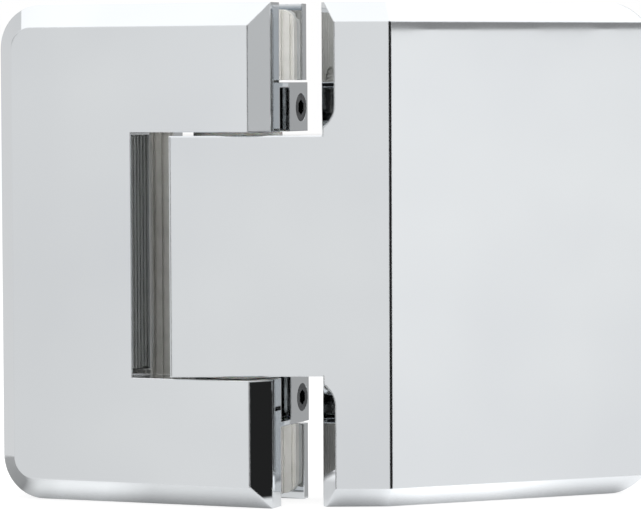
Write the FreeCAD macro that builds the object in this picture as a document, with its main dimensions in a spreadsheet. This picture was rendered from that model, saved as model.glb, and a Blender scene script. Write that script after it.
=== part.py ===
import FreeCAD, Part
import os
import re
import Sketcher

# A glass door hinge for two fixed-angle glass panels: a C-shaped door leaf turns on a pin
# in the tongue of a bent fixed leaf. Millimetres and degrees, +Z up, the fixed strip facing -Y.
# Both leaves are drawn flat, with their front face on -Y, and then turned by the half bend.

document = FreeCAD.newDocument("GlassDoorHinge")
sheet = document.addObject("Spreadsheet::Sheet", "Sizes")
aliases = []
nodes = []


def size(alias, value):
    """One size in the sheet under a plain word: a number, or a sum of the others."""
    cell = "B%d" % (len(aliases) + 1)
    sheet.set("A%d" % (len(aliases) + 1), alias)
    sheet.set(cell, str(value))
    sheet.setAlias(cell, alias)
    aliases.append(alias)


# Driving dimensions
sizes = {
    # Plates
    "plateHeight": 90,
    "halfBend": 22.5,
    "pivotDepth": 10.5,
    "frontThickness": 8,
    "glassSlot": 11,
    "rearThickness": 4,
    "rearBevel": 2,
    # Door leaf, measured from the pivot
    "doorReach": 44.2,
    "armReach": 9.1,
    "notchReach": 16.4,
    "notchHeight": 44,
    "doorBevel": 4.1,
    "doorBevelDepth": 4,
    "armBevel": 2.8,
    "doorCorner": 8,
    # Pin blocks at the arm ends
    "blockHeight": 8.8,
    "blockReach": 7,
    "blockDepth": 21.5,
    "tangSlot": 4.7,
    "tangSlotHeight": 7.9,
    "tangSlotReach": 4.4,
    "setScrewRadius": 2.5,
    "setScrewLength": 6,
    "setScrewDepth": 18.3,
    "setScrewRise": 4.3,
    # Fixed leaf with its strip and tongue
    "tongueReach": 12.2,
    "tongueGap": 0.6,
    "tongueBevel": 0.2,
    "knuckleDepth": 20.5,
    "knuckleEnd": 22,
    "stripStart": 15,
    "bendReach": 27,
    "bendRadius": 1.5,
    "stripEndBevel": 2.1,
    "stripEndBevelDepth": 4,
    "runoutRadius": 5,
    "fixedReach": 51.5,
    "fixedBevel": 3.5,
    "fixedBevelDepth": 3.2,
    "fixedCorner": 5.5,
    "fixedRearStart": 4,
    # Gaskets
    "gasketThickness": 1.5,
    "gasketInset": 1,
    "gasketCorner": 3,
    "blockMargin": 0.4,
    "fixedGasketStart": 7,
    "ribHeight": 0.7,
    "ribWidth": 1.1,
    "ribPitch": 1.7,
    # Clamp screws and their sleeves
    "screwRadius": 3,
    "screwHeadRadius": 5.8,
    "screwHeadDepth": 3,
    "screwTipDepth": 2.9,
    "screwSkin": 2.5,
    "screwSocket": 4,
    "screwSocketDepth": 2.2,
    "sleeveRadius": 5.4,
    "sleeveWall": 2.2,
    "doorScrewReach": 29,
    "fixedScrewReach": 30,
    "screwRise": 28,
    # Pin, bushes and washers
    "pinRadius": 4.5,
    "tangGap": 0.05,
    "tangHeadroom": 0.2,
    "pinFlat": 0.4,
    "pinFlatHeight": 9,
    "bushRadius": 6,
    "bushLength": 8,
    "runningGap": 0.05,
    "fitGap": 0.05,
    "washerThickness": 0.5,
    "washerRadius": 8,
    # Centring plungers
    "plungerBushGap": 1.1,
    "plungerRadius": 3.3,
    "plungerLength": 7.5,
    "plungerNoseBevel": 0.6,
    "spigotRadius": 1.7,
    "spigotLength": 2,
    "springWire": 0.9,
    "springRadius": 2.3,
    "springTurns": 4,
    "plugRadius": 4,
    "plugLength": 3.4,
    "plugSocket": 4,
    "plugSocketDepth": 2,
    "throughMargin": 2,
}
for alias, number in sizes.items():
    size(alias, number)

# Sizes that follow from the others
size("tongueHeight", "=notchHeight - 2 * tongueGap")
size("plungerRise", "=tongueHeight / 2 - bushLength - plungerRadius - plungerBushGap")

document.recompute()


def full(expression):
    """The expression with each size named through the sheet."""
    return re.sub(
        r"[A-Za-z]+",
        lambda word: "Sizes." + word.group() if word.group() in aliases else word.group(),
        expression,
    )


def value(expression):
    """The number that an expression of the sizes gives now."""
    return float(sheet.evalExpression(expression))


def bind(thing, name, expression):
    """Ties one property of an object to the sheet."""
    thing.setExpression(name, full(expression))


def turnOnto(thing, axis):
    """Points an object's own Z axis along X, Y or Z."""
    turns = {
        "X": FreeCAD.Rotation(FreeCAD.Vector(0, 1, 0), 90),
        "Y": FreeCAD.Rotation(FreeCAD.Vector(1, 0, 0), -90),
        "Z": FreeCAD.Rotation(),
    }
    thing.Placement = FreeCAD.Placement(FreeCAD.Vector(), turns[axis])


def place(thing, x, y, z):
    """Ties an object's position to three expressions."""
    bind(thing, "Placement.Base.x", x)
    bind(thing, "Placement.Base.y", y)
    bind(thing, "Placement.Base.z", z)


def box(name, lengths, corner):
    """A block with bound lengths, from its lowest corner."""
    block = document.addObject("Part::Box", name)
    for side, expression in zip(("Length", "Width", "Height"), lengths):
        bind(block, side, expression)
    place(block, *corner)
    return block


def cylinder(name, radius, length, start, axis):
    """A round bar with bound sizes, from the centre of its first end along an axis."""
    bar = document.addObject("Part::Cylinder", name)
    turnOnto(bar, axis)
    bind(bar, "Radius", radius)
    bind(bar, "Height", length)
    place(bar, *start)
    return bar


def cone(name, firstRadius, lastRadius, length, start, axis):
    """A tapered bar with bound sizes, from the centre of its first end along an axis."""
    taper = document.addObject("Part::Cone", name)
    turnOnto(taper, axis)
    bind(taper, "Radius1", firstRadius)
    bind(taper, "Radius2", lastRadius)
    bind(taper, "Height", length)
    place(taper, *start)
    return taper


def hexagon(name, acrossFlats, length, start, axis):
    """A six-sided bar with bound sizes, for a hexagon socket."""
    bar = document.addObject("Part::Prism", name)
    bar.Polygon = 6
    turnOnto(bar, axis)
    bind(bar, "Circumradius", "(%s) / 2 / cos(30)" % acrossFlats)
    bind(bar, "Height", length)
    place(bar, *start)
    return bar


def fuse(name, pieces):
    """Several solids joined into one."""
    joined = document.addObject("Part::MultiFuse", name)
    joined.Shapes = pieces
    joined.Refine = True
    return joined


def cut(name, base, tools):
    """A solid with other solids taken out of it."""
    result = document.addObject("Part::Cut", name)
    result.Base = base
    result.Tool = tools[0] if len(tools) == 1 else fuse(name + "Tools", tools)
    result.Refine = True
    return result


def group(name, pieces):
    """Like pieces kept as separate solids in one node."""
    together = document.addObject("Part::Compound", name)
    together.Links = pieces
    return together


def easeEdges(name, kind, thing, amount, onEdge):
    """A fillet or chamfer of one named size along the edges that a test picks by their corners."""
    eased = document.addObject(kind, name)
    eased.Base = thing
    document.recompute()
    cut = value(amount)
    eased.Edges = [
        (number, cut, cut)
        for number, edge in enumerate(thing.Shape.Edges, 1)
        if onEdge(edge.BoundBox)
    ]
    return eased


def sketchOn(body, name, role, offset="0"):
    """A sketch on one of the body's own origin planes, moved along its normal."""
    sketch = body.newObject("Sketcher::SketchObject", name)
    plane = [item for item in body.Origin.OriginFeatures if item.Role == role][0]
    sketch.AttachmentSupport = [(plane, "")]
    sketch.MapMode = "FlatFace"
    bind(sketch, "AttachmentOffset.Base.z", offset)
    return sketch


def driven(sketch, kind, *arguments, expression):
    """A dimension of the sketch, tied to the sheet."""
    index = sketch.addConstraint(Sketcher.Constraint(kind, *arguments, value(expression)))
    label = "size%d" % index
    sketch.renameConstraint(index, label)
    bind(sketch, "Constraints." + label, expression)


def outline(sketch, corners):
    """A closed outline from corners (x, y) or (x, y, radius), each an expression.

    A rounded corner joins an upright side to a level one.
    """
    points = [FreeCAD.Vector(value(corner[0]), value(corner[1]), 0) for corner in corners]
    radii = [value(corner[2]) if len(corner) > 2 else 0 for corner in corners]
    count = len(corners)
    starts, ends = [], []
    for i in range(count):
        following = (i + 1) % count
        along = (points[following] - points[i]).normalize()
        starts.append(points[i] + along * radii[i])
        ends.append(points[following] - along * radii[following])
    lines = [sketch.addGeometry(Part.LineSegment(a, b)) for a, b in zip(starts, ends)]
    for i in range(count):
        before = lines[i - 1]
        if radii[i]:
            centre = starts[i] + ends[i - 1] - points[i]
            middle = centre + (points[i] - centre).normalize() * radii[i]
            arc = sketch.addGeometry(Part.Arc(ends[i - 1], middle, starts[i]))
            turnsLeft = (points[i] - ends[i - 1]).cross(starts[i] - points[i]).z > 0
            first, last = (1, 2) if turnsLeft else (2, 1)
            sketch.addConstraint(Sketcher.Constraint("Tangent", before, 2, arc, first))
            sketch.addConstraint(Sketcher.Constraint("Tangent", arc, last, lines[i], 1))
            driven(sketch, "Radius", arc, expression=corners[i][2])
        else:
            sketch.addConstraint(Sketcher.Constraint("Coincident", before, 2, lines[i], 1))
            driven(sketch, "DistanceX", -1, 1, lines[i], 1, expression=corners[i][0])
            driven(sketch, "DistanceY", -1, 1, lines[i], 1, expression=corners[i][1])
    for i in range(count):
        following = (i + 1) % count
        if not radii[i] and not radii[following]:
            continue
        upright = abs(points[i].x - points[following].x) < abs(points[i].y - points[following].y)
        sketch.addConstraint(Sketcher.Constraint("Vertical" if upright else "Horizontal", lines[i]))
        if radii[i] and radii[following]:
            side = "DistanceX" if upright else "DistanceY"
            driven(sketch, side, -1, 1, lines[i], 1, expression=corners[i][0 if upright else 1])


def pad(body, name, sketch, length, reversed=False, midplane=False):
    """The sketch given a thickness."""
    feature = body.newObject("PartDesign::Pad", name)
    feature.Profile = sketch
    bind(feature, "Length", length)
    feature.Reversed = reversed
    feature.Midplane = midplane
    return feature


def pocket(body, name, sketch, length, reversed=False, midplane=False):
    """The sketch cut into the solid."""
    feature = body.newObject("PartDesign::Pocket", name)
    feature.Profile = sketch
    bind(feature, "Length", length)
    feature.Reversed = reversed
    feature.Midplane = midplane
    return feature


def revolve(body, name, sketch, axis):
    """The sketch turned round one of its own axes."""
    feature = body.newObject("PartDesign::Revolution", name)
    feature.Profile = sketch
    feature.ReferenceAxis = (sketch, [axis])
    feature.Angle = 360
    return feature


def node(thing, label, turn, x="0", y="0", z="0"):
    """Names a finished piece and puts it in its place, turned about +Z where its leaf is."""
    thing.Label = label
    if turn:
        thing.Placement = FreeCAD.Placement(FreeCAD.Vector(), upright)
        bind(thing, "Placement.Rotation.Angle", turn)
    place(thing, x, y, z)
    nodes.append((thing, (x, y, z)))


# A depth is counted back from a leaf's front face. The door leaf is drawn about the pivot,
# the fixed leaf about the foot of its bend, so each turns its depths into its own Y.

totalDepth = "(frontThickness + glassSlot + rearThickness)"
halfHeight = "(plateHeight / 2)"
rearFront = "(frontThickness + glassSlot)"
hair = 0.01  # edges this near a plane count as lying on it
upright = FreeCAD.Rotation(FreeCAD.Vector(0, 0, 1), 1)  # a turn about Z whose angle is then bound


def plateOutline(left, right, inset, rightInset, leftRadius, rightRadius):
    """The corners of a plate, set in by a bevel."""
    top = "%s - (%s)" % (halfHeight, inset)
    x0, x1 = "%s + (%s)" % (left, inset), "%s - (%s)" % (right, rightInset)
    leftEnd = [leftRadius] if leftRadius else []
    rightEnd = [rightRadius] if rightRadius else []
    return [
        [x0, "-(%s)" % top] + leftEnd,
        [x1, "-(%s)" % top] + rightEnd,
        [x1, top] + rightEnd,
        [x0, top] + leftEnd,
    ]


def rearPlate(name, left, right, frontFace, leftRadius, rightRadius):
    """A clamping plate with its back edges bevelled all round, front on the given offset."""
    body = document.addObject("PartDesign::Body", name)
    rim = sketchOn(body, name + "Rim", "XZ_Plane", frontFace)
    outline(rim, plateOutline(left, right, "0", "0", leftRadius, rightRadius))
    pad(body, name + "Plate", rim, "rearThickness - rearBevel", reversed=True)
    waist = sketchOn(body, name + "Waist", "XZ_Plane", frontFace + " - rearThickness + rearBevel")
    outline(waist, plateOutline(left, right, "0", "0", leftRadius, rightRadius))
    back = sketchOn(body, name + "Back", "XZ_Plane", frontFace + " - rearThickness")
    smaller = [radius + " - rearBevel" if radius else radius for radius in (leftRadius, rightRadius)]
    outline(back, plateOutline(left, right, "rearBevel", "rearBevel", *smaller))
    bevel = body.newObject("PartDesign::AdditiveLoft", name + "Bevel")
    bevel.Profile = waist
    bevel.Sections = [back]
    bevel.Ruled = True
    return body


def ribbedGasket(name, left, right, seat, towardsBack, leftRadius, rightRadius):
    """A clear sheet with upright ribs on the side that meets the glass, seated on a plate."""
    body = document.addObject("PartDesign::Body", name)
    sheetSketch = sketchOn(body, name + "Outline", "XZ_Plane", seat)
    corners = plateOutline(left, right, "gasketInset", "gasketInset", leftRadius, rightRadius)
    outline(sheetSketch, corners)
    pad(body, name + "Sheet", sheetSketch, "gasketThickness", reversed=towardsBack)
    step = "gasketThickness - ribHeight"
    depth = "%s - (%s)" % (seat, step) if towardsBack else "%s + (%s)" % (seat, step)
    groove = sketchOn(body, name + "Groove", "XZ_Plane", depth)
    first = "%s + gasketInset + ribWidth" % left
    last = "%s + gasketInset + ribPitch" % left
    over = "%s + throughMargin" % halfHeight
    outline(groove, [[first, "-(%s)" % over], [last, "-(%s)" % over], [last, over], [first, over]])
    channel = pocket(body, name + "Channel", groove, "gasketThickness", reversed=not towardsBack)
    pattern = body.newObject("PartDesign::LinearPattern", name + "Ribs")
    pattern.Originals = [channel]
    pattern.Direction = (groove, ["H_Axis"])
    pattern.Mode = "Spacing"
    bind(pattern, "Offset", "ribPitch")
    width = "(%s) - (%s) - 2 * gasketInset" % (right, left)
    bind(pattern, "Occurrences", "floor((%s) / ribPitch)" % width)
    body.Tip = pattern
    return body


def countersinks(prefix, x, rise, backFace):
    """The holes of a rear plate for its two clamp screws."""
    tools = []
    for side, z in (("Upper", rise), ("Lower", "-" + rise)):
        tools.append(
            cylinder(
                prefix + side + "Hole",
                "screwRadius + fitGap",
                "rearThickness + 2 * throughMargin",
                (x, "%s - rearThickness - throughMargin" % backFace, z),
                "Y",
            )
        )
        tools.append(
            cone(
                prefix + side + "Countersink",
                "screwRadius + fitGap",
                "screwHeadRadius + fitGap",
                "screwHeadDepth",
                (x, "%s - screwHeadDepth" % backFace, z),
                "Y",
            )
        )
    return tools


def clampScrews(prefix, x, rise, frontFace):
    """Two countersunk screws with hexagon sockets, from the back into the front plate."""
    pair = []
    back = "%s + %s" % (frontFace, totalDepth)
    for side, z in (("Upper", rise), ("Lower", "-" + rise)):
        shank = cylinder(
            prefix + side + "Shank",
            "screwRadius",
            "%s - screwTipDepth - screwHeadDepth" % totalDepth,
            (x, "%s + screwTipDepth" % frontFace, z),
            "Y",
        )
        head = cone(
            prefix + side + "Head",
            "screwRadius",
            "screwHeadRadius",
            "screwHeadDepth",
            (x, "%s - screwHeadDepth" % back, z),
            "Y",
        )
        socket = hexagon(
            prefix + side + "Socket",
            "screwSocket",
            "screwSocketDepth + throughMargin",
            (x, "%s - screwSocketDepth" % back, z),
            "Y",
        )
        pair.append(cut(prefix + side + "Screw", fuse(prefix + side + "Blank", [shank, head]), [socket]))
    return group(prefix + "Screws", pair)


def screwSleeves(prefix, x, rise, frontFace):
    """Two plastic tubes that keep the clamp screws off the glass."""
    pair = []
    for side, z in (("Upper", rise), ("Lower", "-" + rise)):
        start = (x, "%s + frontThickness" % frontFace, z)
        outer = cylinder(prefix + side + "Outer", "sleeveRadius", "glassSlot", start, "Y")
        inner = cylinder(prefix + side + "Inner", "sleeveRadius - sleeveWall", "glassSlot", start, "Y")
        pair.append(cut(prefix + side + "Sleeve", outer, [inner]))
    return group(prefix + "Sleeves", pair)


def sleeveHoles(prefix, x, rise, frontFace):
    """Clearance for the sleeves through a gasket."""
    return [
        cylinder(
            prefix + side + "SleeveHole",
            "sleeveRadius + blockMargin",
            "glassSlot",
            (x, "%s + frontThickness" % frontFace, z),
            "Y",
        )
        for side, z in (("Upper", rise), ("Lower", "-" + rise))
    ]


def tappedHoles(prefix, x, rise, frontFace):
    """Blind holes for the clamp screws in the back of a front plate."""
    return [
        cylinder(
            prefix + side + "Tapped",
            "screwRadius + fitGap",
            "frontThickness - screwSkin + throughMargin",
            (x, "%s + screwSkin" % frontFace, z),
            "Y",
        )
        for side, z in (("Upper", rise), ("Lower", "-" + rise))
    ]


# Door leaf
doorFront = "-pivotDepth"
doorTurn = "-halfBend"


def doorFrontPlate():
    """The C-shaped cover: bevelled outside edges, square notch, and a pin block on each arm."""
    body = document.addObject("PartDesign::Body", "DoorCover")
    rimPlace = "pivotDepth - doorBevelDepth"
    rimCorners = plateOutline("-doorReach", "armReach", "0", "0", "doorCorner", None)
    rim = sketchOn(body, "DoorRim", "XZ_Plane", rimPlace)
    outline(rim, rimCorners)
    pad(body, "DoorPlate", rim, "frontThickness - doorBevelDepth", reversed=True)
    waist = sketchOn(body, "DoorWaist", "XZ_Plane", rimPlace)
    outline(waist, rimCorners)
    face = sketchOn(body, "DoorFace", "XZ_Plane", "pivotDepth")
    inner = plateOutline("-doorReach", "armReach", "doorBevel", "armBevel", "doorCorner - doorBevel", None)
    outline(face, inner)
    bevel = body.newObject("PartDesign::AdditiveLoft", "DoorBevel")
    bevel.Profile = waist
    bevel.Sections = [face]
    bevel.Ruled = True
    for side, sign in (("Upper", ""), ("Lower", "-")):
        base = sketchOn(body, "Block" + side, "XZ_Plane", "pivotDepth - frontThickness")
        low = sign + "(notchHeight / 2)"
        high = sign + "(notchHeight / 2 + blockHeight)"
        outline(base, [["-blockReach", low], ["armReach", low], ["armReach", high], ["-blockReach", high]])
        pad(body, "PinBlock" + side, base, "blockDepth - frontThickness", reversed=True)
    notch = sketchOn(body, "Notch", "XZ_Plane")
    outline(
        notch,
        [
            ["-notchReach", "-notchHeight / 2"],
            ["armReach + throughMargin", "-notchHeight / 2"],
            ["armReach + throughMargin", "notchHeight / 2"],
            ["-notchReach", "notchHeight / 2"],
        ],
    )
    pocket(body, "NotchCut", notch, "4 * pivotDepth", midplane=True)
    tools = tappedHoles("Door", "-doorScrewReach", "screwRise", doorFront)
    for side, low, middle in (
        ("Upper", "notchHeight / 2 - throughMargin", "notchHeight / 2 + setScrewRise"),
        ("Lower", "-notchHeight / 2 - tangSlotHeight", "-notchHeight / 2 - setScrewRise"),
    ):
        tools.append(
            box(
                "TangSlot" + side,
                ("tangSlotReach + armReach + throughMargin", "tangSlot", "tangSlotHeight + throughMargin"),
                ("-tangSlotReach", "-tangSlot / 2", low),
            )
        )
        tools.append(
            cylinder(
                "SetScrewHole" + side,
                "setScrewRadius + fitGap",
                "setScrewLength + 2 * throughMargin",
                ("armReach - setScrewLength - throughMargin", "setScrewDepth - pivotDepth", middle),
                "X",
            )
        )
    node(cut("DoorFrontPlate", body, tools), "door_front_plate", doorTurn)


def doorCutOut(name, frontOffset, depth):
    """The stepped opening of the rear plate and gaskets round the tongue and pin blocks."""
    start = "-pivotDepth + (%s)" % frontOffset
    notch = box(
        name + "Notch",
        ("notchReach + armReach + throughMargin", depth, "notchHeight"),
        ("-notchReach", start, "-notchHeight / 2"),
    )
    blocks = box(
        name + "Blocks",
        (
            "blockReach + blockMargin + armReach + throughMargin",
            depth,
            "notchHeight + 2 * (blockHeight + blockMargin)",
        ),
        ("-blockReach - blockMargin", start, "-(notchHeight / 2 + blockHeight + blockMargin)"),
    )
    return [notch, blocks]


def doorRearPlate():
    """The C-shaped clamping plate behind the door glass."""
    body = rearPlate("DoorBack", "-doorReach", "armReach", "pivotDepth - " + rearFront, "doorCorner", None)
    tools = doorCutOut("DoorBack", rearFront, "rearThickness")
    tools += countersinks("DoorBack", "-doorScrewReach", "screwRise", "(-pivotDepth + %s)" % totalDepth)
    node(cut("DoorRearPlate", body, tools), "door_rear_plate", doorTurn)


def doorGaskets():
    """Clear ribbed gaskets either side of the door glass."""
    for label, name, seat, back, start in (
        ("door_front_gasket", "DoorFrontGasket", "pivotDepth - frontThickness", True, "frontThickness"),
        (
            "door_rear_gasket",
            "DoorRearGasket",
            "pivotDepth - " + rearFront,
            False,
            rearFront + " - gasketThickness",
        ),
    ):
        body = ribbedGasket(
            name, "-doorReach", "armReach", seat, back, "doorCorner - gasketInset", "gasketCorner"
        )
        tools = doorCutOut(name, start, "gasketThickness")
        tools += sleeveHoles(name, "-doorScrewReach", "screwRise", doorFront)
        node(cut(name + "Cut", body, tools), label, doorTurn)


def pivotPin():
    """The pin: round in the bushes, flattened at its ends, with a shallow flat for each plunger."""
    reach = "notchHeight / 2 + tangSlotHeight - tangHeadroom"
    tangLow = "tongueHeight / 2 + washerThickness"
    body = document.addObject("PartDesign::Body", "PinBar")
    section = sketchOn(body, "PinSection", "XY_Plane")
    circle = section.addGeometry(Part.Circle(FreeCAD.Vector(), FreeCAD.Vector(0, 0, 1), value("pinRadius")))
    section.addConstraint(Sketcher.Constraint("Coincident", circle, 3, -1, 1))
    driven(section, "Radius", circle, expression="pinRadius")
    pad(body, "PinRound", section, "2 * (%s)" % reach, midplane=True)
    tools = []
    sideCut = "pinRadius - tangSlot / 2 + tangGap"
    for end, low in (("Upper", tangLow), ("Lower", "-(%s)" % reach)):
        for side, start in (("Front", "-pinRadius"), ("Back", "tangSlot / 2 - tangGap")):
            tools.append(
                box(
                    "Tang" + end + side,
                    ("2 * pinRadius", sideCut, "(%s) - (%s)" % (reach, tangLow)),
                    ("-pinRadius", start, low),
                )
            )
    flats = [
        box(
            "Flat" + side,
            ("pinFlat", "2 * pinRadius", "pinFlatHeight"),
            ("pinRadius - pinFlat", "-pinRadius", "%s - pinFlatHeight / 2" % rise),
        )
        for side, rise in (("Upper", "plungerRise"), ("Lower", "-plungerRise"))
    ]
    turnedFlats = fuse("TurnedFlats", flats)
    turnedFlats.Placement = FreeCAD.Placement(FreeCAD.Vector(), upright)
    bind(turnedFlats, "Placement.Rotation.Angle", "halfBend")
    tools.append(turnedFlats)
    node(cut("PivotPin", body, tools), "pivot_pin", doorTurn)


def setScrews():
    """Grub screws in the arm ends, each with a hexagon socket."""
    for side, middle in (
        ("upper", "notchHeight / 2 + setScrewRise"),
        ("lower", "-notchHeight / 2 - setScrewRise"),
    ):
        name = side.capitalize()
        depth = "setScrewDepth - pivotDepth"
        bar = cylinder(
            "SetBar" + name,
            "setScrewRadius",
            "setScrewLength",
            ("armReach - setScrewLength", depth, middle),
            "X",
        )
        socket = hexagon(
            "SetSocket" + name,
            "setScrewRadius",
            "setScrewRadius + throughMargin",
            ("armReach - setScrewRadius", depth, middle),
            "X",
        )
        node(cut("SetScrew" + name, bar, [socket]), side + "_set_screw", doorTurn)


# Fixed leaf: the strip and tongue face -Y, and the outer plate is turned back at the bend.
# Its flat plates are drawn from the foot of the bend, with the front face on Y 0.
fixedFront = "0"
fixedTurn = "halfBend"
bendFoot = ("bendReach", "-pivotDepth")
mitre = "frontThickness * tan(halfBend / 2)"
stripLeft = "(stripStart - bendReach)"
runoutRise = "(tongueHeight / 2 + runoutRadius + blockMargin)"


def bevelCutters(name, turned):
    """Two wedges that bevel the upper and lower front edges of a plate with its face on Y 0."""
    pair = []
    for side, sign in (("Upper", ""), ("Lower", "-")):
        body = document.addObject("PartDesign::Body", name + side + "Wedge")
        sketch = sketchOn(body, name + side + "Bevel", "YZ_Plane")
        edge = sign + "(%s - fixedBevel)" % halfHeight
        beyond = sign + "(%s + fixedBevel)" % halfHeight
        outline(
            sketch,
            [["0", edge], ["2 * fixedBevelDepth", beyond], ["-fixedBevel", beyond], ["-fixedBevel", edge]],
        )
        pad(body, name + side + "Cut", sketch, "2 * (bendReach + fixedReach)", midplane=True)
        if turned:
            body.Placement = FreeCAD.Placement(FreeCAD.Vector(), upright)
            bind(body, "Placement.Rotation.Angle", fixedTurn)
        place(body, *bendFoot, "0")
        pair.append(body)
    return pair


def stripBody():
    """The upright strip beside the tongue, mitred at the bend, with its left edge bevelled."""
    body = document.addObject("PartDesign::Body", "Strip")
    plan = sketchOn(body, "StripPlan", "XY_Plane")
    outline(
        plan,
        [[stripLeft, "0"], ["0", "0"], ["-" + mitre, "frontThickness"], [stripLeft, "frontThickness"]],
    )
    pad(body, "StripPad", plan, "plateHeight", midplane=True)
    for side, sign, upwards in (("Upper", "", True), ("Lower", "-", False)):
        bevel = sketchOn(body, "EndBevel" + side, "XY_Plane", sign + runoutRise)
        outline(
            bevel,
            [
                [stripLeft + " - stripEndBevel", "2 * stripEndBevelDepth"],
                [stripLeft + " - stripEndBevel", "-stripEndBevelDepth"],
                [stripLeft + " + stripEndBevel", "-stripEndBevelDepth"],
                [stripLeft + " + stripEndBevel", "0"],
            ],
        )
        pocket(body, "EndBevelCut" + side, bevel, halfHeight, reversed=upwards)
    return body


def outerBody():
    """The fixed leaf's outer cover plate, mitred at the bend, its far corners rounded."""
    body = document.addObject("PartDesign::Body", "Outer")
    front = sketchOn(body, "OuterFace", "XZ_Plane")
    outline(front, plateOutline("0", "fixedReach", "0", "0", None, "fixedCorner"))
    pad(body, "OuterPad", front, "frontThickness", reversed=True)
    corner = sketchOn(body, "MitrePlan", "XY_Plane")
    outline(
        corner,
        [
            ["0", "0"],
            ["2 * " + mitre, "2 * frontThickness"],
            ["-throughMargin", "2 * frontThickness"],
            ["-throughMargin", "0"],
        ],
    )
    pocket(body, "MitreCut", corner, "plateHeight + throughMargin", midplane=True)
    return body


def knucklePlate():
    """The fixed front casting: tongue, strip and bent outer plate in one piece."""
    strip = stripBody()
    place(strip, *bendFoot, "0")
    runouts = [
        cone(
            "Runout" + side,
            "runoutRadius",
            "runoutRadius - stripEndBevel",
            "stripEndBevelDepth",
            ("stripStart + stripEndBevel - runoutRadius", "-pivotDepth", rise),
            "Y",
        )
        for side, rise in (("Upper", runoutRise), ("Lower", "-" + runoutRise))
    ]
    bevelledStrip = cut("BevelledStrip", strip, runouts)
    outer = outerBody()
    holes = cut("OuterDrilled", outer, tappedHoles("Fixed", "fixedScrewReach", "screwRise", fixedFront))
    holes.Placement = FreeCAD.Placement(FreeCAD.Vector(), upright)
    bind(holes, "Placement.Rotation.Angle", fixedTurn)
    place(holes, *bendFoot, "0")
    block = box(
        "TongueBlock",
        ("tongueReach + knuckleEnd", "knuckleDepth", "tongueHeight"),
        ("-tongueReach", "-pivotDepth", "-tongueHeight / 2"),
    )
    face = value("-pivotDepth") + hair
    end = value("knuckleEnd") - hair
    tongue = easeEdges(
        "Tongue", "Part::Chamfer", block, "tongueBevel", lambda edge: edge.YMax < face and edge.XMin < end
    )
    casting = fuse("Casting", [bevelledStrip, holes, tongue])
    bend = value("bendReach")
    eased = easeEdges(
        "BendEased",
        "Part::Fillet",
        casting,
        "bendRadius",
        lambda edge: abs(edge.XMin - bend) < hair and abs(edge.XMax - bend) < hair and edge.YMax < face,
    )
    tools = bevelCutters("Strip", False) + bevelCutters("Outer", True)
    tools.append(cylinder("PinBore", "bushRadius", "tongueHeight", ("0", "0", "-tongueHeight / 2"), "Z"))
    for side, rise in (("Upper", "plungerRise"), ("Lower", "-plungerRise")):
        tools.append(
            cylinder("PlungerBore" + side, "plungerRadius + runningGap", "knuckleEnd", ("0", "0", rise), "X")
        )
        tools.append(
            cylinder(
                "PlugBore" + side,
                "plugRadius + fitGap",
                "plugLength + throughMargin",
                ("knuckleEnd - plugLength", "0", rise),
                "X",
            )
        )
    node(cut("KnucklePlate", eased, tools), "knuckle_plate", None)


def fixedRearPlate():
    """The clamping plate behind the fixed glass."""
    body = rearPlate("FixedBack", "fixedRearStart", "fixedReach", "-" + rearFront, None, "fixedCorner")
    tools = countersinks("FixedBack", "fixedScrewReach", "screwRise", totalDepth)
    node(cut("FixedRearPlate", body, tools), "fixed_rear_plate", fixedTurn, *bendFoot)


def fixedGaskets():
    """Clear ribbed gaskets either side of the fixed glass."""
    for label, name, seat, back in (
        ("fixed_front_gasket", "FixedFrontGasket", "-frontThickness", True),
        ("fixed_rear_gasket", "FixedRearGasket", "-" + rearFront, False),
    ):
        body = ribbedGasket(
            name, "fixedGasketStart", "fixedReach", seat, back, "gasketCorner", "fixedCorner - gasketInset"
        )
        tools = sleeveHoles(name, "fixedScrewReach", "screwRise", fixedFront)
        node(cut(name + "Cut", body, tools), label, fixedTurn, *bendFoot)


def bushesAndWashers():
    """Plain bushes pressed into the tongue, and a thrust washer on each of its ends."""
    for side, low, washerLow in (
        ("upper", "tongueHeight / 2 - bushLength", "tongueHeight / 2"),
        ("lower", "-tongueHeight / 2", "-tongueHeight / 2 - washerThickness"),
    ):
        name = side.capitalize()
        for label, kind, radius, length, start in (
            ("_bush", "Bush", "bushRadius", "bushLength", low),
            ("_thrust_washer", "Washer", "washerRadius", "washerThickness", washerLow),
        ):
            ring = cylinder(kind + "Outer" + name, radius, length, ("0", "0", start), "Z")
            hole = cylinder(kind + "Hole" + name, "pinRadius + runningGap", length, ("0", "0", start), "Z")
            node(cut(kind + name, ring, [hole]), side + label, None)


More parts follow.
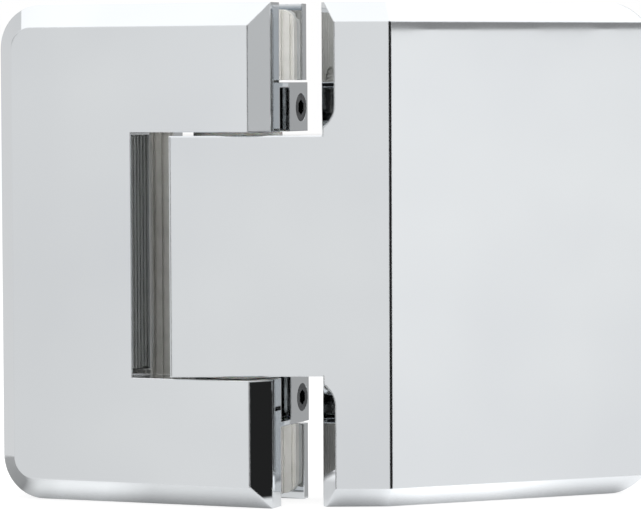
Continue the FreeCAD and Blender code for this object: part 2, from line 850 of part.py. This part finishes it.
def plungers():
    """Spring-loaded plungers that find the pin's flats, each with its spring and end plug."""
    nose = "pinRadius + runningGap"
    for side, rise in (("upper", "plungerRise"), ("lower", "-plungerRise")):
        name = side.capitalize()
        body = document.addObject("PartDesign::Body", "Plunger" + name)
        profile = sketchOn(body, "PlungerProfile" + name, "XZ_Plane")
        outline(
            profile,
            [
                ["0", "0"],
                ["plungerLength", "0"],
                ["plungerLength", "spigotRadius"],
                ["plungerLength - spigotLength", "spigotRadius"],
                ["plungerLength - spigotLength", "plungerRadius"],
                ["plungerNoseBevel", "plungerRadius"],
                ["0", "plungerRadius - plungerNoseBevel"],
            ],
        )
        revolve(body, "PlungerTurned" + name, profile, "H_Axis")
        node(body, side + "_plunger", None, nose, "0", rise)

        springStart = "%s + plungerLength - spigotLength + springWire / 2 + fitGap" % nose
        node(coilSpring("Spring" + name), side + "_spring", None, springStart, "0", rise)

        plugStart = "knuckleEnd - plugLength"
        plug = cylinder("PlugBar" + name, "plugRadius", "plugLength", (plugStart, "0", rise), "X")
        socket = hexagon(
            "PlugSocket" + name,
            "plugSocket",
            "plugSocketDepth + throughMargin",
            ("knuckleEnd - plugSocketDepth", "0", rise),
            "X",
        )
        node(cut("Plug" + name, plug, [socket]), side + "_end_plug", None)


def coilSpring(name):
    """An open coil between a plunger's shoulder and its end plug, drawn along its own axis."""
    gap = "(knuckleEnd - plugLength - pinRadius - runningGap - plungerLength + spigotLength)"
    coil = document.addObject("Part::Helix", name + "Coil")
    bind(coil, "Radius", "springRadius")
    bind(coil, "Height", "%s - springWire - 2 * fitGap" % gap)
    bind(coil, "Pitch", "(%s - springWire - 2 * fitGap) / springTurns" % gap)
    wire = document.addObject("Part::Circle", name + "Wire")
    wire.Placement = FreeCAD.Placement(FreeCAD.Vector(), FreeCAD.Rotation(FreeCAD.Vector(1, 0, 0), 90))
    bind(wire, "Radius", "springWire / 2")
    bind(wire, "Placement.Base.x", "springRadius")
    sweep = document.addObject("Part::Sweep", name)
    sweep.Sections = [wire]
    sweep.Spine = (coil, [])
    sweep.Solid = True
    sweep.Frenet = True
    turnOnto(sweep, "X")
    return sweep


def settle():
    """Stands the finished hinge on Z 0, with the middle of its overall box over the origin."""
    document.recompute()
    boxes = [thing.Shape.optimalBoundingBox() for thing, place in nodes]
    whole = boxes[0]
    for other in boxes[1:]:
        whole.add(other)
    size("middleX", round(whole.Center.x, 6))
    size("middleY", round(whole.Center.y, 6))
    document.recompute()
    for thing, (x, y, z) in nodes:
        place(thing, "%s - middleX" % x, "%s - middleY" % y, "%s + %s" % (z, halfHeight))
    document.recompute()
    print("middle of the overall box from the pivot:", value("middleX"), value("middleY"))


def export():
    """Stops at a failed piece, and otherwise writes each one to its own file."""
    for thing in document.Objects:
        if "Invalid" in thing.State or "Error" in thing.State:
            raise RuntimeError("%s failed: %s" % (thing.Name, thing.State))
    for thing, place in nodes:
        if thing.Shape.isNull() or not thing.Shape.isValid():
            raise RuntimeError("%s has no valid shape" % thing.Label)
    os.makedirs("parts", exist_ok=True)
    for thing, place in nodes:
        thing.Shape.exportStep("parts/%s.step" % thing.Label)
        print(thing.Label, len(thing.Shape.Solids), "solid", round(thing.Shape.Volume, 1))


doorFrontPlate()
doorRearPlate()
doorGaskets()
node(clampScrews("Door", "-doorScrewReach", "screwRise", doorFront), "door_clamp_screws", doorTurn)
node(screwSleeves("Door", "-doorScrewReach", "screwRise", doorFront), "door_screw_sleeves", doorTurn)
pivotPin()
setScrews()
knucklePlate()
fixedRearPlate()
fixedGaskets()
fixedScrews = clampScrews("Fixed", "fixedScrewReach", "screwRise", fixedFront)
node(fixedScrews, "fixed_clamp_screws", fixedTurn, *bendFoot)
fixedSleeves = screwSleeves("Fixed", "fixedScrewReach", "screwRise", fixedFront)
node(fixedSleeves, "fixed_screw_sleeves", fixedTurn, *bendFoot)
bushesAndWashers()
plungers()
settle()
export()
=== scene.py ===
import math

import bpy
from mathutils import Matrix, Vector


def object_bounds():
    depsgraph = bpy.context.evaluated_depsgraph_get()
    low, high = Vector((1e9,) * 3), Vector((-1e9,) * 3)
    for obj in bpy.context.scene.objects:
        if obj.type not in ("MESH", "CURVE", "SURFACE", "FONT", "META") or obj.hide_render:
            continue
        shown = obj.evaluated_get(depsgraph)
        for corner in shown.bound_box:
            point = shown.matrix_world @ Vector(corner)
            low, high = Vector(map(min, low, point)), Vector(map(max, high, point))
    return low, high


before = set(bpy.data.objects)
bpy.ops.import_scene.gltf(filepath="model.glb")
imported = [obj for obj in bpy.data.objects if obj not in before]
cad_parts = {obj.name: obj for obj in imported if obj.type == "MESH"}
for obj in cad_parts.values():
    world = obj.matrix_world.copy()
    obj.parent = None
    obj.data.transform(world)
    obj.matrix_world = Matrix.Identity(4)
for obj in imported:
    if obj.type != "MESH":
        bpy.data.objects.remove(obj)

# Glass door hinge, 135 degrees, in polished chrome: finishes, floor, light and camera for the CAD pieces.
# Lengths are in metres and angles in degrees.
cadBox = [list(corner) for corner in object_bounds()]
hingeTop = cadBox[1][2]
mm = 0.001
white = (1.0, 1.0, 1.0, 1.0)
noiseSpan = (0.3, 0.7)  # nearly all values of a noise texture lie between these
softDetail = 2.0  # octaves of a noise that makes soft patches
edgeSamples = 6  # samples of the Bevel nodes, which round the edges for the light alone


def fromHex(colour):  # an sRGB hex colour as the linear colour that a socket takes
    parts = [int(colour[i:i + 2], 16) / 255 for i in (1, 3, 5)]
    return [p / 12.92 if p <= 0.04045 else ((p + 0.055) / 1.055) ** 2.4 for p in parts] + [1.0]


def addNode(tree, kind, settings=None, links=None):  # a number or a socket's name sets or links that socket
    node = tree.nodes.new(kind)
    for name, value in (settings or {}).items():
        if isinstance(name, int) or name in node.inputs:
            node.inputs[name].default_value = value
        else:
            setattr(node, name, value)
    for name, source in (links or {}).items():
        tree.links.new(source, node.inputs[name])
    return node


def newMaterial(name):
    material = bpy.data.materials.new(name)
    material.use_nodes = True
    tree = material.node_tree
    tree.nodes.clear()
    output = addNode(tree, "ShaderNodeOutputMaterial")
    return material, tree, output


def noiseRange(tree, place, size, low, high, detail=softDetail):  # a value that wanders over the piece
    noise = addNode(tree, "ShaderNodeTexNoise", {"Scale": 1 / size, "Detail": detail}, {"Vector": place})
    return addNode(
        tree, "ShaderNodeMapRange",
        {"From Min": noiseSpan[0], "From Max": noiseSpan[1], "To Min": low, "To Max": high},
        {"Value": noise.outputs["Fac"]},
    ).outputs["Result"]


def patchyColour(tree, place, finish):  # drifts between the light and the shade of a finish
    tint = noiseRange(tree, place, finish["patch"], 0, 1)
    mix = addNode(tree, "ShaderNodeMix", {"data_type": "RGBA"}, {"Factor": tint})
    mix.inputs[6].default_value = fromHex(finish["light"])  # 6, 7 and 2 are the node's colour sockets
    mix.inputs[7].default_value = fromHex(finish["shade"])
    return mix.outputs[2]


chrome = {
    "light": "#dfe2e4",
    "shade": "#d9dcdf",
    "patch": 35 * mm,
    "glossPatch": 35 / 3 * mm,
    "rough": (0.012, 0.03),
    "wave": 28 * mm,
    "waveHeight": 0.004 * mm,
    "waveDetail": 0.0,
    "edge": 0.35 * mm,
}


def polishedChrome():
    # Chrome plate on buffed brass: a mirror with a faint swell left by the buffing wheel
    material, tree, output = newMaterial("polished chrome on brass")
    place = addNode(tree, "ShaderNodeTexCoord").outputs["Object"]
    colour = patchyColour(tree, place, chrome)
    rough = noiseRange(tree, place, chrome["glossPatch"], *chrome["rough"])
    rounded = addNode(tree, "ShaderNodeBevel", {"samples": edgeSamples, "Radius": chrome["edge"]})
    swell = addNode(
        tree, "ShaderNodeTexNoise", {"Scale": 1 / chrome["wave"], "Detail": chrome["waveDetail"]},
        {"Vector": place},
    )
    bump = addNode(
        tree, "ShaderNodeBump", {"Strength": 1.0, "Distance": chrome["waveHeight"]},
        {"Height": swell.outputs["Fac"], "Normal": rounded.outputs["Normal"]},
    )
    metal = addNode(
        tree, "ShaderNodeBsdfPrincipled", {"Metallic": 1.0},
        {"Base Color": colour, "Roughness": rough, "Normal": bump.outputs["Normal"]},
    )
    tree.links.new(metal.outputs["BSDF"], output.inputs["Surface"])
    return material


brightSteel = {
    "light": "#d6d6d4",
    "shade": "#bdbdba",
    "patch": 2.4 * mm,
    "grain": 0.8 * mm,
    "grainDetail": 4.0,
    "rough": (0.14, 0.26),
    "edge": 0.2 * mm,
}
blackSteel = {
    "light": "#6a6c6e",
    "shade": "#45474a",
    "patch": 2.1 * mm,
    "grain": 0.7 * mm,
    "grainDetail": 4.0,
    "rough": (0.12, 0.3),
    "edge": 0.15 * mm,
}


def turnedSteel(name, finish):
    # Steel turned on a lathe: a satin grey with fine uneven gloss from the cutting tool
    # The grain is several times coarser than real tool marks, which would be too fine to show
    material, tree, output = newMaterial(name)
    place = addNode(tree, "ShaderNodeTexCoord").outputs["Object"]
    colour = patchyColour(tree, place, finish)
    rough = noiseRange(tree, place, finish["grain"], *finish["rough"], detail=finish["grainDetail"])
    rounded = addNode(tree, "ShaderNodeBevel", {"samples": edgeSamples, "Radius": finish["edge"]})
    metal = addNode(
        tree, "ShaderNodeBsdfPrincipled", {"Metallic": 1.0},
        {"Base Color": colour, "Roughness": rough, "Normal": rounded.outputs["Normal"]},
    )
    tree.links.new(metal.outputs["BSDF"], output.inputs["Surface"])
    return material


gasket = {
    "light": "#f6f5f1",
    "shade": "#eae9e4",
    "patch": 3 * mm,
    "grain": 0.5 * mm,
    "grainDetail": 4.0,
    "rough": (0.38, 0.55),
    "transmission": 0.12,
    "ior": 1.53,
}


def frostedGasket():
    # Soft PVC pressed in a matt mould: milky, lets some light through and has no sharp gloss
    # The mould's grain is drawn coarser than it is, so that it shows
    material, tree, output = newMaterial("moulded clear PVC")
    place = addNode(tree, "ShaderNodeTexCoord").outputs["Object"]
    colour = patchyColour(tree, place, gasket)
    rough = noiseRange(tree, place, gasket["grain"], *gasket["rough"], detail=gasket["grainDetail"])
    plastic = addNode(
        tree, "ShaderNodeBsdfPrincipled",
        {"IOR": gasket["ior"], "Transmission Weight": gasket["transmission"]},
        {"Base Color": colour, "Roughness": rough},
    )
    tree.links.new(plastic.outputs["BSDF"], output.inputs["Surface"])
    return material


acetal = {
    "light": "#f0efea",
    "shade": "#e4e3dd",
    "patch": 2.4 * mm,
    "grain": 1.2 * mm,
    "grainDetail": 3.0,
    "rough": (0.28, 0.4),
    "ior": 1.48,
    "softness": 0.1,
    "softDepth": 0.6 * mm,
}


def machinedAcetal():
    # Machined acetal: a dense white with a waxy, slightly uneven sheen
    # The unevenness is drawn coarser than the cutter leaves it, so that it shows
    material, tree, output = newMaterial("machined white acetal")
    place = addNode(tree, "ShaderNodeTexCoord").outputs["Object"]
    colour = patchyColour(tree, place, acetal)
    rough = noiseRange(tree, place, acetal["grain"], *acetal["rough"], detail=acetal["grainDetail"])
    plastic = addNode(
        tree, "ShaderNodeBsdfPrincipled",
        {
            "IOR": acetal["ior"],
            "Subsurface Weight": acetal["softness"],
            "Subsurface Scale": acetal["softDepth"],
        },
        {"Base Color": colour, "Roughness": rough},
    )
    tree.links.new(plastic.outputs["BSDF"], output.inputs["Surface"])
    return material


def dressPieces():
    wears = (
        (polishedChrome(), ("door_front_plate", "door_rear_plate", "knuckle_plate", "fixed_rear_plate",
                            "upper_end_plug", "lower_end_plug")),
        (turnedSteel("turned stainless steel", brightSteel),
         ("door_clamp_screws", "fixed_clamp_screws", "pivot_pin", "door_screw_sleeves", "fixed_screw_sleeves",
          "upper_spring", "lower_spring")),  # drawn spring wire looks much the same
        (turnedSteel("blackened alloy steel", blackSteel), ("upper_set_screw", "lower_set_screw")),
        (frostedGasket(), ("door_front_gasket", "door_rear_gasket", "fixed_front_gasket",
                           "fixed_rear_gasket")),
        (machinedAcetal(), ("upper_bush", "lower_bush", "upper_thrust_washer", "lower_thrust_washer",
                            "upper_plunger", "lower_plunger")),
    )
    for finish, names in wears:
        for name in names:
            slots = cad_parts[name].data.materials
            slots.clear()
            slots.append(finish)


camera = {  # fitted to the hinge's edges in the photograph
    "place": (-10.95 * mm, -628.68 * mm, 75.8 * mm),
    "yawRight": 0.93,
    "pitchDown": 2.922,
    "roll": -0.25,
    "focalPixels": 3445,
    "pixelsWide": 641,
    "sensor": 36.0,  # in millimetres, as Blender's lenses are
    "clipStart": 10 * mm,
}


def setCamera():
    data = bpy.data.cameras.new("photo camera")
    data.sensor_fit = "HORIZONTAL"
    data.sensor_width = camera["sensor"]
    data.lens = camera["focalPixels"] * camera["sensor"] / camera["pixelsWide"]
    data.clip_start = camera["clipStart"]
    eye = bpy.data.objects.new("photo camera", data)
    bpy.context.scene.collection.objects.link(eye)
    yaw, pitch, roll = (math.radians(camera[angle]) for angle in ("yawRight", "pitchDown", "roll"))
    forward = Vector((math.sin(yaw) * math.cos(pitch), math.cos(yaw) * math.cos(pitch), -math.sin(pitch)))
    right = forward.cross(Vector((0, 0, 1))).normalized()
    up = right.cross(forward)
    side = right * math.cos(roll) + up * math.sin(roll)
    top = up * math.cos(roll) - right * math.sin(roll)
    turn = Matrix((side, top, -forward)).transposed().to_4x4()
    eye.matrix_world = Matrix.Translation(Vector(camera["place"])) @ turn
    bpy.context.scene.camera = eye


def curveOf(tree, source, levels):  # a value read from straight lines between (where, level) pairs
    curve = addNode(tree, "ShaderNodeFloatCurve", {}, {"Value": source})
    mapping = curve.mapping
    mapping.use_clip = False
    points = mapping.curves[0].points
    points[0].location = levels[0]
    points[1].location = levels[-1]
    for level in levels[1:-1]:
        points.new(*level)
    for point in points:
        point.handle_type = "VECTOR"
    mapping.update()
    return curve.outputs["Value"]


def raysOf(tree):  # the rays that show the floor and surroundings, and those that mirror them in a polish
    rays = addNode(tree, "ShaderNodeLightPath")
    seen = addNode(
        tree, "ShaderNodeMath", {"operation": "MAXIMUM"},
        {0: rays.outputs["Is Camera Ray"], 1: rays.outputs["Is Transmission Ray"]},
    )
    return seen.outputs[0], rays.outputs["Is Glossy Ray"]


floorLook = {
    "side": 8.0,
    "below": 0.05 * mm,  # keeps the floor off the faces that stand on it
    "paper": "#f4f4f4",
    "seenMatt": 0.3,
    "seenGlow": 0.86,
    "mirroredMatt": 0.3,
    "mirroredGlow": 1.3,
    "mirroredAcross": (  # painted reflection: how bright the floor glows in the polished faces, by the place from left to right
        (-70 * mm, 0.2), (-57 * mm, 0.2), (-52 * mm, 1.75), (-40 * mm, 1.75), (-33 * mm, 1.16),
        (8 * mm, 1.18), (16 * mm, 2.3), (30 * mm, 2.4), (45 * mm, 1.6), (70 * mm, 1.5),
    ),
    "contact": 3.2 * mm,  # how far from the metal the painted shade on the floor reaches
    "contactSamples": 8,
    "openMost": 0.5,  # how open to the sky a place counts at most
    "sweep": 0.45,  # how steeply the patch that is mirrored turns back on each side, like the hinge
    "depth": 31 * mm,  # of that patch, from front to back
    # each edge of it fades between these two distances from the opposite edge
    "mirroredTo": 25 * mm,
    "goneFrom": 31 * mm,
}


def shiningPaper(tree, matt, glow, glowLinks=None):  # keeps the hinge's shadow and is white by itself
    paper = addNode(tree, "ShaderNodeBsdfDiffuse", {"Color": (matt, matt, matt, 1.0)})
    shine = addNode(tree, "ShaderNodeEmission", {"Color": white, "Strength": glow}, glowLinks)
    both = addNode(tree, "ShaderNodeAddShader", {}, {0: shine.outputs[0], 1: paper.outputs[0]})
    return both.outputs[0]


def mirroredLevel(tree, across):
    # painted reflection: bright and dark patches of floor for the lower bevels to mirror
    byPlace = curveOf(tree, across, floorLook["mirroredAcross"])
    glow = addNode(
        tree, "ShaderNodeMath", {"operation": "MULTIPLY", 1: floorLook["mirroredGlow"]}, {0: byPlace},
    )
    # painted shade: in the polished faces the floor's glow darkens where the metal meets it, which draws a
    # dark line along the lower edges
    sky = addNode(
        tree, "ShaderNodeAmbientOcclusion",
        {"samples": floorLook["contactSamples"], "Distance": floorLook["contact"]},
    )
    shaded = addNode(
        tree, "ShaderNodeMath", {"operation": "MINIMUM", 1: floorLook["openMost"]}, {0: sky.outputs["AO"]},
    )
    level = addNode(
        tree, "ShaderNodeMath", {"operation": "MULTIPLY"}, {0: glow.outputs[0], 1: shaded.outputs[0]},
    )
    return level.outputs[0]


def goneAway(tree, across, inward):  # 0 under the hinge, 1 from a little way in front of it and behind it
    aside = addNode(tree, "ShaderNodeMath", {"operation": "ABSOLUTE"}, {0: across})
    swept = addNode(
        tree, "ShaderNodeMath", {"operation": "MULTIPLY", 1: floorLook["sweep"]}, {0: aside.outputs[0]},
    )
    ahead = addNode(tree, "ShaderNodeMath", {"operation": "SUBTRACT"}, {0: swept.outputs[0], 1: inward})
    behind = addNode(
        tree, "ShaderNodeMath", {"operation": "SUBTRACT", 0: floorLook["depth"]}, {1: ahead.outputs[0]},
    )
    away = addNode(
        tree, "ShaderNodeMath", {"operation": "MAXIMUM"}, {0: ahead.outputs[0], 1: behind.outputs[0]},
    )
    gone = addNode(
        tree, "ShaderNodeMapRange",
        {
            "interpolation_type": "SMOOTHSTEP",
            "From Min": floorLook["mirroredTo"],
            "From Max": floorLook["goneFrom"],
        },
        {"Value": away.outputs[0]},
    )
    return gone.outputs["Result"]


def setFloor():
    below = cadBox[0][2] - floorLook["below"]
    bpy.ops.mesh.primitive_plane_add(size=floorLook["side"], location=(0, 0, below))
    floor = bpy.context.object
    floor.name = "floor"
    material, tree, output = newMaterial("white paper floor")
    seen, glossy = raysOf(tree)
    place = addNode(tree, "ShaderNodeNewGeometry").outputs["Position"]
    parts = addNode(tree, "ShaderNodeSeparateXYZ", {}, {0: place})
    across, inward = parts.outputs["X"], parts.outputs["Y"]
    lighting = addNode(tree, "ShaderNodeBsdfDiffuse", {"Color": fromHex(floorLook["paper"])})
    shown = shiningPaper(tree, floorLook["seenMatt"], floorLook["seenGlow"])
    level = mirroredLevel(tree, across)
    mirrored = shiningPaper(tree, floorLook["mirroredMatt"], floorLook["mirroredGlow"], {"Strength": level})
    plain = addNode(tree, "ShaderNodeMixShader", {}, {0: seen, 1: lighting.outputs[0], 2: shown})
    paper = addNode(tree, "ShaderNodeMixShader", {}, {0: glossy, 1: plain.outputs[0], 2: mirrored})
    # away from the hinge the polished faces see past the floor, to the cards and the surroundings
    gone = addNode(
        tree, "ShaderNodeMath", {"operation": "MULTIPLY"}, {0: goneAway(tree, across, inward), 1: glossy},
    )
    clear = addNode(tree, "ShaderNodeBsdfTransparent")
    surface = addNode(
        tree, "ShaderNodeMixShader", {}, {0: gone.outputs[0], 1: paper.outputs[0], 2: clear.outputs[0]},
    )
    tree.links.new(surface.outputs[0], output.inputs["Surface"])
    floor.data.materials.append(material)


studio = {  # how bright the surroundings are
    "seen": 1.0,
    "lighting": 0.58,
    # in the polished faces, by how high a direction points and by how far right
    "byHeight": (
        (-1.0, 0.9), (-0.12, 0.95), (0.0, 1.0), (0.1, 0.9), (0.18, 0.5), (0.3, 0.55),
        (0.45, 1.3), (1.0, 1.42),
    ),
    "byRight": (
        (-1.0, 0.86), (-0.75, 0.885), (-0.7, 0.975), (-0.6, 0.98), (0.0, 0.93), (0.6, 1.1), (0.743, 1.07),
        (0.79, 1.02), (1.0, 0.95),
    ),
}


def setStudio():
    world = bpy.data.worlds.new("studio")
    bpy.context.scene.world = world
    world.use_nodes = True
    tree = world.node_tree
    tree.nodes.clear()
    output = addNode(tree, "ShaderNodeOutputWorld")
    seen, glossy = raysOf(tree)
    direction = addNode(tree, "ShaderNodeTexCoord").outputs["Generated"]
    parts = addNode(tree, "ShaderNodeSeparateXYZ", {}, {0: direction})
    byHeight = curveOf(tree, parts.outputs["Z"], studio["byHeight"])
    byRight = curveOf(tree, parts.outputs["X"], studio["byRight"])
    level = addNode(tree, "ShaderNodeMath", {"operation": "MULTIPLY"}, {0: byHeight, 1: byRight})
    shown = addNode(tree, "ShaderNodeBackground", {"Color": white, "Strength": studio["seen"]})
    mirrored = addNode(tree, "ShaderNodeBackground", {"Color": white}, {"Strength": level.outputs[0]})
    lighting = addNode(tree, "ShaderNodeBackground", {"Color": white, "Strength": studio["lighting"]})
    hidden = addNode(
        tree, "ShaderNodeMixShader", {}, {0: glossy, 1: lighting.outputs[0], 2: mirrored.outputs[0]},
    )
    surface = addNode(
        tree, "ShaderNodeMixShader", {}, {0: seen, 1: hidden.outputs[0], 2: shown.outputs[0]},
    )
    tree.links.new(surface.outputs[0], output.inputs["Surface"])


softbox = {
    "place": (0.0, -0.15, 0.9),
    "aim": (0.0, 0.0, hingeTop / 2),
    "side": 0.7,
    "watts": 5.0,
}
slotAcross = -3 * mm
slotInset = 10 * mm  # from the hinge's top and bottom to the middle of the open slots
slotSpots = {  # two narrow lamps that light the gaskets and pin blocks between the leaves
    "place": (slotAcross, -1.1, 0.12),
    "aims": {
        "upper slot spot": (slotAcross, 0.0, hingeTop - slotInset),
        "lower slot spot": (slotAcross, 0.0, slotInset),
    },
    "cone": 2.4,
    "fade": 0.6,
    "bulb": 20 * mm,
    "watts": 20.0,
}


def aimLamp(name, kind, lamp, aim):
    data = bpy.data.lights.new(name, kind)
    data.energy = lamp["watts"]
    light = bpy.data.objects.new(name, data)
    bpy.context.scene.collection.objects.link(light)
    light.location = lamp["place"]
    toAim = Vector(aim) - Vector(lamp["place"])
    light.rotation_euler = toAim.to_track_quat("-Z", "Y").to_euler()
    light.visible_glossy = False
    return data


def setLamps():
    box = aimLamp("top softbox", "AREA", softbox, softbox["aim"])
    box.size = softbox["side"]
    for name, aim in slotSpots["aims"].items():
        spot = aimLamp(name, "SPOT", slotSpots, aim)
        spot.spot_size = math.radians(slotSpots["cone"])
        spot.spot_blend = slotSpots["fade"]
        spot.shadow_soft_size = slotSpots["bulb"]


cardsAway = 1.5
cardTop = 1.2
cards = {  # seen in reflections alone: angles run from the front to the right
    "right dark card": {"from": 8, "to": 42, "low": -cardTop, "high": cardTop, "glow": 0.02},
    "left dark card": {"from": -40, "to": -8, "low": -cardTop, "high": cardTop, "glow": 0.02},
    "high right card": {"from": 43, "to": 57, "low": 0.107, "high": 0.4, "glow": 0.3},
    "back left card": {"from": -150, "to": -118, "low": -cardTop, "high": cardTop, "glow": 0.81},
    "back right card": {"from": 112, "to": 165, "low": -cardTop, "high": cardTop, "glow": 0.45},
    "side pale card": {"from": 59, "to": 76, "low": 0.0, "high": cardTop, "glow": 0.63},
    "side dark card": {"from": 59, "to": 76, "low": -cardTop, "high": 0.0, "glow": 0.02},
}


def setCards():
    for name, card in cards.items():
        ends = [math.radians(card[end]) for end in ("from", "to")]
        left, right = ((cardsAway * math.sin(turn), -cardsAway * math.cos(turn)) for turn in ends)
        corners = [
            (*left, card["low"]),
            (*right, card["low"]),
            (*right, card["high"]),
            (*left, card["high"]),
        ]
        mesh = bpy.data.meshes.new(name)
        mesh.from_pydata(corners, [], [(0, 1, 2, 3)])
        sheet = bpy.data.objects.new(name, mesh)
        bpy.context.scene.collection.objects.link(sheet)
        material, tree, output = newMaterial("studio " + name)
        glow = addNode(tree, "ShaderNodeEmission", {"Color": white, "Strength": card["glow"]})
        tree.links.new(glow.outputs[0], output.inputs["Surface"])
        mesh.materials.append(material)
        sheet.visible_camera = False
        sheet.visible_diffuse = False
        sheet.visible_shadow = False
        sheet.visible_transmission = False


print("hinge: finishes")
dressPieces()
print("hinge: camera")
setCamera()
print("hinge: floor and surroundings")
setFloor()
setStudio()
print("hinge: lamps and studio cards")
setLamps()
setCards()
bpy.context.scene.view_settings.view_transform = "Standard"
